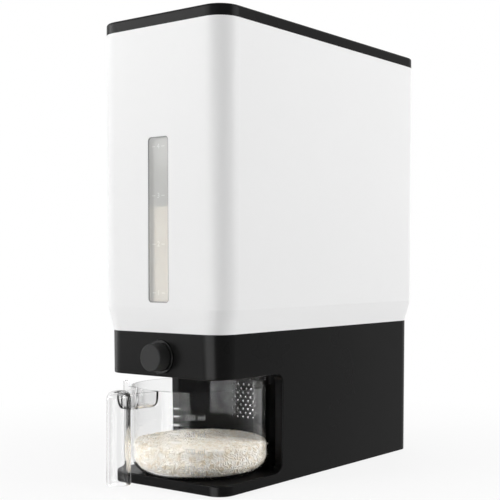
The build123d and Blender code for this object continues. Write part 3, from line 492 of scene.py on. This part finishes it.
cup_rice = turned_heap("cup_rice", rice_gap - heap_reach)
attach(cup_rice, "cup")
cup_skin = turned_heap("cup_rice_skin", rice_gap, first=len(foot_shares))
scatter(
    "cup_rice_grains", cup_skin, "cup", cup_rice_look,
    {"Spacing": 1.9 * mm, "Grain Length": 4.4 * mm, "Grain Width": 1.5 * mm, "Tilt": 0.06, "Seed": 5},
)

# %% [markdown]
# ## Rice in the bin
#
# The bin's rice stands on the funnel's slopes and against the bin's walls, so each level of
# the heap is a rounded rectangle that widens up to the walls. Only its top and the strip
# behind the window can ever be seen, so only those get loose grains.

# %% The heap in the bin
# Heights are above the floor. The outlet and the bin's inner walls are given from the bin's
# middle, the walls at two heights, since the bin widens upwards.
bin_level = 237.6 * mm
bin_foot = 118.0 * mm
funnel_foot = 116.0 * mm
outlet_half = 24.0 * mm
outlet_front = -96.87 * mm
outlet_back = -86.87 * mm
side_slope = radians(48.7)
front_slope = radians(30.5)
back_slope = radians(28.0)
wall_foot = 152.0 * mm
wall_head = 389.9 * mm
wall_foot_x = 67.7 * mm
wall_head_x = 69.3 * mm
wall_foot_y = 154.25 * mm
wall_head_y = 155.95 * mm
pane_room = 3.9 * mm
heap_gap = 0.8 * mm
heap_corner = 17.0 * mm
corner_share = 0.45
heap_levels = 24
heap_rings = 12
heap_lump = 3.0 * mm
heap_lump_scale = 30.0
heap_lump_edge = 6


def heap_section(height):
    """Half width, front and back of the rice at one height."""
    share = (height - wall_foot) / (wall_head - wall_foot)
    wall_x = wall_foot_x + (wall_head_x - wall_foot_x) * share
    wall_y = wall_foot_y + (wall_head_y - wall_foot_y) * share
    rise = height - funnel_foot
    half = min(outlet_half + rise / tan(side_slope), wall_x) - heap_gap
    front = max(outlet_front - rise / tan(front_slope) + heap_gap, pane_room - wall_y)
    back = min(outlet_back + rise / tan(back_slope), wall_y) - heap_gap
    return half, body_y + front, body_y + back


def rounded_ring(half, front, back, corner, steps=6):
    """Points of a rounded rectangle, counter-clockwise seen from above."""
    ring = []
    middles = ((half - corner, back - corner), (corner - half, back - corner),
               (corner - half, front + corner), (half - corner, front + corner))
    for quarter, (x, y) in enumerate(middles):
        for step in range(steps + 1):
            angle = pi / 2 * (quarter + step / steps)
            ring.append((x + corner * cos(angle), y + corner * sin(angle)))
    return ring


def join_rings(shape, lower, upper):
    """Faces between two closed rings of as many points."""
    for step in range(len(lower)):
        after = (step + 1) % len(lower)
        shape.faces.new((lower[step], lower[after], upper[after], upper[step]))


def bin_heap():
    """Loft the rings, then close the heap below and with a lumpy top."""
    shape = bmesh.new()
    rings = []
    for level in range(heap_levels + 1):
        height = bin_foot + (bin_level - bin_foot) * level / heap_levels
        half, front, back = heap_section(height)
        corner = min(heap_corner, corner_share * (back - front), corner_share * 2 * half)
        outline = rounded_ring(half, front, back, corner)
        rings.append([shape.verts.new((x, y, height)) for x, y in outline])
    for lower, upper in zip(rings, rings[1:]):
        join_rings(shape, lower, upper)
    shape.faces.new(list(reversed(rings[0])))
    half, front, back = heap_section(bin_level)
    centre = Vector((0.0, (front + back) / 2, bin_level))
    outer = rings[-1]
    for step in range(1, heap_rings):
        share = 1 - step / heap_rings
        inner = []
        for vert in rings[-1]:
            spot = centre.lerp(vert.co, share)
            inwards = min(1.0, heap_lump_edge * (1 - share))
            spot.z += heap_lump * noise.noise(spot * heap_lump_scale) * inwards
            inner.append(shape.verts.new(spot))
        join_rings(shape, outer, inner)
        outer = inner
    middle = shape.verts.new(centre)
    for step in range(len(outer)):
        shape.faces.new((outer[step], outer[(step + 1) % len(outer)], middle))
    bmesh.ops.recalc_face_normals(shape, faces=shape.faces)
    mesh = bpy.data.meshes.new("bin_rice")
    shape.to_mesh(mesh)
    shape.free()
    mesh.materials.append(bin_rice_shaded_look)
    return link_object("bin_rice", mesh)


bin_rice = bin_heap()
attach(bin_rice, "base")
print("bin_rice", len(bin_rice.data.polygons), "faces")

# %% Loose grains behind the window and on top
sheet_lump_scale = 60.0


def sheet_skin(name, corners, columns, rows, lift):
    """A flat grid between four corners, moved a little along its normal by noise."""
    shape = bmesh.new()
    low_left, low_right, high_right, high_left = (Vector(corner) for corner in corners)
    grid = []
    for row in range(rows + 1):
        left = low_left.lerp(high_left, row / rows)
        right = low_right.lerp(high_right, row / rows)
        spots = [left.lerp(right, column / columns) for column in range(columns + 1)]
        grid.append([shape.verts.new(spot) for spot in spots])
    for low, high in zip(grid, grid[1:]):
        for column in range(columns):
            shape.faces.new((low[column], low[column + 1], high[column + 1], high[column]))
    shape.normal_update()
    for row in grid:
        for vert in row:
            vert.co = vert.co + vert.normal * lift * noise.noise(vert.co * sheet_lump_scale)
    mesh = bpy.data.meshes.new(name)
    shape.to_mesh(mesh)
    shape.free()
    return link_object(name, mesh)


strip_half = 15.0 * mm
strip_foot = 153.0 * mm
low_front = heap_section(strip_foot)[1]
high_half, high_front, high_back = heap_section(bin_level)
strip_skin = sheet_skin(
    "window_skin",
    ((-strip_half, low_front, strip_foot), (strip_half, low_front, strip_foot),
     (strip_half, high_front, bin_level), (-strip_half, high_front, bin_level)),
    columns=10, rows=30, lift=0.0,
)
scatter(
    "window_rice_grains", strip_skin, "base", bin_rice_shaded_look,
    {"Spacing": 1.9 * mm, "Grain Length": 4.8 * mm, "Grain Width": 1.7 * mm, "Tilt": 0.05, "Seed": 11},
)
margin = 4.0 * mm
top_half = high_half - margin
top_front = high_front + margin
top_back = high_back - margin
top_skin = sheet_skin(
    "top_skin",
    ((-top_half, top_front, bin_level), (top_half, top_front, bin_level),
     (top_half, top_back, bin_level), (-top_half, top_back, bin_level)),
    columns=20, rows=40, lift=1.5 * mm,
)
scatter(
    "bin_rice_grains", top_skin, "base", bin_rice_shaded_look,
    {"Spacing": 4.0 * mm, "Grain Length": 5.4 * mm, "Grain Width": 2.1 * mm, "Tilt": 0.3, "Seed": 3},
)

# %% [markdown]
# ## Printed scales
#
# The window and the cup carry plain printed scales: numbers and short lines. Text starts as
# a text object, becomes a mesh, and is then bent round the cup or laid on the window. Only
# generic figures are drawn.

# %% Ink and text helpers


def ink(name, cover):
    """Pale printing ink that covers what is under it by a share."""
    return moulded(name, grey(0.92), grey(0.88), 0.5, 0.1, 1500, 0.01 * mm, Alpha=cover)


pale_ink = ink("pale_ink", cover=1.0)
soft_ink = ink("soft_ink", cover=0.55)
faint_ink = ink("faint_ink", cover=0.3)
ink_depth = 0.04 * mm
line_steps = 6


def text_mesh(body, size):
    """The flat mesh of a short text, centred on its own middle, in metres."""
    curve = bpy.data.curves.new("lettering", "FONT")
    curve.body = body
    curve.size = size
    curve.align_x = "CENTER"
    curve.align_y = "CENTER"
    curve.resolution_u = 4
    holder = link_object("lettering", curve)
    graph = bpy.context.evaluated_depsgraph_get()
    mesh = bpy.data.meshes.new_from_object(holder.evaluated_get(graph), depsgraph=graph)
    bpy.data.objects.remove(holder)
    return mesh


def print_marks(name, body, marks, text_size, lay, color):
    """Join texts and lines into one thin printed piece. Each is (text or line size, x, z)."""
    shape = bmesh.new()
    for content, x, z in marks:
        if isinstance(content, str):
            mesh = text_mesh(content, text_size)
            before = set(shape.verts)
            shape.from_mesh(mesh)
            fresh = [vert for vert in shape.verts if vert not in before]
            for vert in fresh:
                vert.co = Vector((vert.co.x + x, vert.co.y + z, 0.0))
            bpy.data.meshes.remove(mesh)
        else:
            width, height = content
            rows = []
            for edge in (-0.5, 0.5):
                rows.append([
                    shape.verts.new((x + width * (step / line_steps - 0.5), z + height * edge, 0.0))
                    for step in range(line_steps + 1)
                ])
            low, high = rows
            for step in range(line_steps):
                shape.faces.new((low[step], low[step + 1], high[step + 1], high[step]))
    bmesh.ops.triangulate(shape, faces=shape.faces)
    for vert in shape.verts:
        vert.co = lay(vert.co.x, vert.co.y)
    shape.normal_update()
    mesh = bpy.data.meshes.new(name)
    shape.to_mesh(mesh)
    shape.free()
    mesh.materials.append(color)
    piece = link_object(name, mesh)
    solid = piece.modifiers.new("ink thickness", "SOLIDIFY")
    solid.thickness = ink_depth
    solid.offset = 0.0
    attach(piece, body)
    print(name, len(mesh.polygons), "faces")


# %% The cup's scale
# The heights of marks are in millimetres above the floor, here and on the window.
scale_angle = radians(-71.0)
label_angle = radians(-54.0)
print_gap = 0.05 * mm
cup_text = 6.4 * mm
tick_size = (8.8 * mm, 1.0 * mm)
tick_x = 0.8 * mm
tick_heights = (70.6, 64.1, 57.1, 49.7, 42.8)
label_heights = (("700 ml", 63.3), ("500 ml", 49.3), ("300 ml", 35.4), ("100 ml", 21.5))


def on_cup(x, z):
    """Bend a flat place round the cup: x runs along the wall from the scale's angle."""
    angle = scale_angle + x / cup_radius
    reach = cup_radius + print_gap
    return Vector((reach * cos(angle), cup_axis.y + reach * sin(angle), z))


label_x = (label_angle - scale_angle) * cup_radius
ticks = [(tick_size, tick_x, height * mm) for height in tick_heights]
labels = [(label, label_x, height * mm) for label, height in label_heights]
print_marks("cup_ticks", "cup", ticks, cup_text, on_cup, pale_ink)
print_marks("cup_labels", "cup", labels, cup_text, on_cup, faint_ink)

# %% The window's scale
pane_low, pane_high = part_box("window_pane")
front_lean = atan2(wall_head_y - wall_foot_y, wall_head - wall_foot)
pane_recess = 0.4 * mm
window_middle_z = (pane_low.z + pane_high.z) / 2
pane_front_y = bin_low.y + (wall_head - window_middle_z) * tan(front_lean) + pane_recess
number_text = 6.0 * mm
number_heights = (("4", 288.0), ("3", 246.7), ("2", 206.0), ("1", 165.2))
dash_size = (3.6 * mm, 0.5 * mm)
dash_x = 5.2 * mm


def on_window(x, z):
    """Lay a flat place on the leaning front of the window pane."""
    return Vector((x, pane_front_y - (z - window_middle_z) * tan(front_lean) - print_gap, z))


window_marks = []
for number, height in number_heights:
    window_marks.append((number, 0.0, height * mm))
    for dash in (-dash_x, dash_x):
        window_marks.append((dash_size, dash, height * mm))
print_marks("window_scale", "base", window_marks, number_text, on_window, soft_ink)

# %% [markdown]
# ## The button's spring
#
# The coil spring shortens as the button goes in. A copy of its mesh, with a mesh of its own,
# stands in for it, and the solid spring is hidden.

# %% A copy of the spring
solid_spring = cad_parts["return_spring"]
spring_coil = link_object("spring_coil", solid_spring.data.copy())
spring_coil.matrix_world = solid_spring.matrix_world.copy()
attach(spring_coil, "base")
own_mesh(spring_coil)
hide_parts("return_spring")

# %% [markdown]
# ## Studio
#
# The object stands on a plain pale floor in a white surround. The camera, reflections and
# clear plastic see the surround as white, with a few bright panels that put pale stripes on
# the glossy black parts. All else gets a weaker, even light from it, less of it from the
# object's right-hand side. Two large soft lamps do the rest. The floor fades into the white
# away from the object and keeps a soft shadow close by.

# %% Floor
floor_size = 30.0
fade_start = 0.12
fade_end = 0.55
near_glow = 0.85


def add_nodes(tree, *kinds):
    """Add several nodes at once."""
    return [tree.nodes.new(kind) for kind in kinds]


def combine(tree, operation, first, second):
    """The result of one math node on two values."""
    node = tree.nodes.new("ShaderNodeMath")
    node.operation = operation
    tree.links.new(first, node.inputs[0])
    tree.links.new(second, node.inputs[1])
    return node.outputs[0]


def seen_directly(tree):
    """A value of one for camera, mirror and clear-plastic rays, and zero for the rest."""
    rays = tree.nodes.new("ShaderNodeLightPath")
    seen = combine(tree, "MAXIMUM", rays.outputs["Is Camera Ray"], rays.outputs["Is Glossy Ray"])
    return combine(tree, "MAXIMUM", seen, rays.outputs["Is Transmission Ray"])


def floor_material():
    """Pale floor near the object that turns into the white surround further out."""
    material = bpy.data.materials.new("pale_floor")
    material.use_nodes = True
    tree = material.node_tree
    shader = tree.nodes["Principled BSDF"]
    shader.inputs["Base Color"].default_value = grey(0.87)
    shader.inputs["Roughness"].default_value = 0.7
    place, far, spread, glow, mixed = add_nodes(
        tree, "ShaderNodeTexCoord", "ShaderNodeVectorMath", "ShaderNodeMapRange",
        "ShaderNodeEmission", "ShaderNodeMixShader",
    )
    far.operation = "LENGTH"
    tree.links.new(place.outputs["Object"], far.inputs[0])
    spread.inputs["From Min"].default_value = fade_start
    spread.inputs["From Max"].default_value = fade_end
    spread.inputs["To Min"].default_value = near_glow
    spread.inputs["To Max"].default_value = 1.0
    tree.links.new(far.outputs["Value"], spread.inputs["Value"])
    mask = combine(tree, "MULTIPLY", spread.outputs["Result"], seen_directly(tree))
    tree.links.new(mask, mixed.inputs["Fac"])
    tree.links.new(shader.outputs["BSDF"], mixed.inputs[1])
    tree.links.new(glow.outputs["Emission"], mixed.inputs[2])
    tree.links.new(mixed.outputs["Shader"], tree.nodes["Material Output"].inputs["Surface"])
    return material


bpy.ops.mesh.primitive_plane_add(size=floor_size)
floor = bpy.context.object
floor.name = "floor"
floor.data.materials.append(floor_material())
floor.visible_glossy = floor.visible_transmission = False

# %% Surround
# Each panel's azimuth, half width, foot, head and soft edge, in degrees.
panels = (
    (-91.0, 24.0, -20.0, 3.0, 1.5),
    (-150.0, 16.0, 8.0, 22.0, 4.0),
    (-148.0, 36.0, -6.3, -4.1, 0.2),
)
even_strength = 0.45
panel_strength = 14.0
shade_azimuth = radians(-10.0)
shade_share = 0.7
shade_full = 0.8


def step_node(tree, value, start, end):
    """Zero before start, one after end, and smooth between them."""
    ramp = tree.nodes.new("ShaderNodeMapRange")
    ramp.interpolation_type = "SMOOTHSTEP"
    ramp.inputs["From Min"].default_value = start
    ramp.inputs["From Max"].default_value = end
    tree.links.new(value, ramp.inputs["Value"])
    return ramp.outputs["Result"]


def compass(tree, azimuth):
    """A ray's direction, and how far its level part points towards an azimuth, from -1 to 1."""
    place, level, unit, along = add_nodes(
        tree, "ShaderNodeTexCoord", "ShaderNodeVectorMath", "ShaderNodeVectorMath",
        "ShaderNodeVectorMath",
    )
    level.operation = "MULTIPLY"
    level.inputs[1].default_value = (1.0, 1.0, 0.0)
    unit.operation = "NORMALIZE"
    along.operation = "DOT_PRODUCT"
    along.inputs[1].default_value = (cos(azimuth), sin(azimuth), 0.0)
    tree.links.new(place.outputs["Generated"], level.inputs[0])
    tree.links.new(level.outputs["Vector"], unit.inputs[0])
    tree.links.new(unit.outputs["Vector"], along.inputs[0])
    return place.outputs["Generated"], along.outputs["Value"]


def bounces(tree, operation):
    """One before a ray's first diffuse bounce ("LESS_THAN"), or after it ("GREATER_THAN")."""
    rays, test = add_nodes(tree, "ShaderNodeLightPath", "ShaderNodeMath")
    test.operation = operation
    test.inputs[1].default_value = 0.5
    tree.links.new(rays.outputs["Diffuse Depth"], test.inputs[0])
    return test.outputs[0]


def panel_mask(tree, azimuth, half_width, foot, head, edge):
    """One in a window of directions, before a ray's first diffuse bounce: a bright panel."""
    direction, along = compass(tree, azimuth)
    parts = tree.nodes.new("ShaderNodeSeparateXYZ")
    tree.links.new(direction, parts.inputs["Vector"])
    across = step_node(tree, along, cos(half_width + edge), cos(half_width - edge))
    above = step_node(tree, parts.outputs["Z"], sin(foot), sin(foot + edge))
    below = step_node(tree, parts.outputs["Z"], sin(head), sin(head - edge))
    across = combine(tree, "MULTIPLY", across, bounces(tree, "LESS_THAN"))
    between = combine(tree, "MULTIPLY", above, below)
    return combine(tree, "MULTIPLY", across, between)


def side_shade(tree, azimuth, share):
    """Less light from one side after a diffuse bounce: one less the share there, else one."""
    along = compass(tree, azimuth)[1]
    side = step_node(tree, along, 0.0, shade_full)
    shade = tree.nodes.new("ShaderNodeMath")
    shade.operation = "MULTIPLY_ADD"
    shade.inputs[1].default_value = -share
    shade.inputs[2].default_value = 1.0
    side = combine(tree, "MULTIPLY", side, bounces(tree, "GREATER_THAN"))
    tree.links.new(side, shade.inputs[0])
    return shade.outputs[0]


def white_surround():
    """White with bright panels to the eye, and an even grey light on the object."""
    world = bpy.data.worlds.new("surround")
    bpy.context.scene.world = world
    world.use_nodes = True
    tree = world.node_tree
    light = tree.nodes["Background"]
    light.inputs["Color"].default_value = grey(1.0)
    white, mixed, brighter, plain = add_nodes(
        tree, "ShaderNodeBackground", "ShaderNodeMixShader", "ShaderNodeMath", "ShaderNodeValue",
    )
    white.inputs["Color"].default_value = grey(1.0)
    masks = [panel_mask(tree, *map(radians, panel)) for panel in panels]
    highest = masks[0]
    for mask in masks[1:]:
        highest = combine(tree, "MAXIMUM", highest, mask)
    brighter.operation = "MULTIPLY_ADD"
    brighter.inputs[1].default_value = panel_strength - 1.0
    brighter.inputs[2].default_value = 1.0
    tree.links.new(highest, brighter.inputs[0])
    plain.outputs[0].default_value = even_strength
    shade = side_shade(tree, shade_azimuth, shade_share)
    for source, background in ((plain, light), (brighter, white)):
        shaded = combine(tree, "MULTIPLY", source.outputs[0], shade)
        tree.links.new(shaded, background.inputs["Strength"])
    tree.links.new(seen_directly(tree), mixed.inputs["Fac"])
    tree.links.new(light.outputs["Background"], mixed.inputs[1])
    tree.links.new(white.outputs["Background"], mixed.inputs[2])
    tree.links.new(mixed.outputs["Shader"], tree.nodes["World Output"].inputs["Surface"])


white_surround()

# %% Lamps


def soft_lamp(name, place, target, width, height, power):
    """A large rectangular lamp that faces a point of the object."""
    lamp = bpy.data.lights.new(name, "AREA")
    lamp.shape = "RECTANGLE"
    lamp.size = width
    lamp.size_y = height
    lamp.energy = power
    holder = link_object(name, lamp)
    holder.location = place
    holder.rotation_euler = (Vector(target) - Vector(place)).to_track_quat("-Z", "Y").to_euler()


lamp_target = (0.0, 0.0, 0.2)
soft_lamp("front_lamp", (-1.05, -1.95, 1.1), lamp_target, width=1.1, height=1.3, power=28.5)
soft_lamp("side_lamp", (2.0, 0.95, 1.1), lamp_target, width=1.4, height=1.4, power=36.0)
print("lamps set")

# %% Camera
camera = link_object("camera", bpy.data.cameras.new("camera"))
camera.location = (0.6044, -0.7875, 0.1891)
camera.rotation_euler = (radians(90.777), 0.0, radians(37.87))
camera.data.sensor_width = 36.0
camera.data.lens = 76.2
bpy.context.scene.camera = camera
bpy.context.scene.view_settings.view_transform = "Standard"
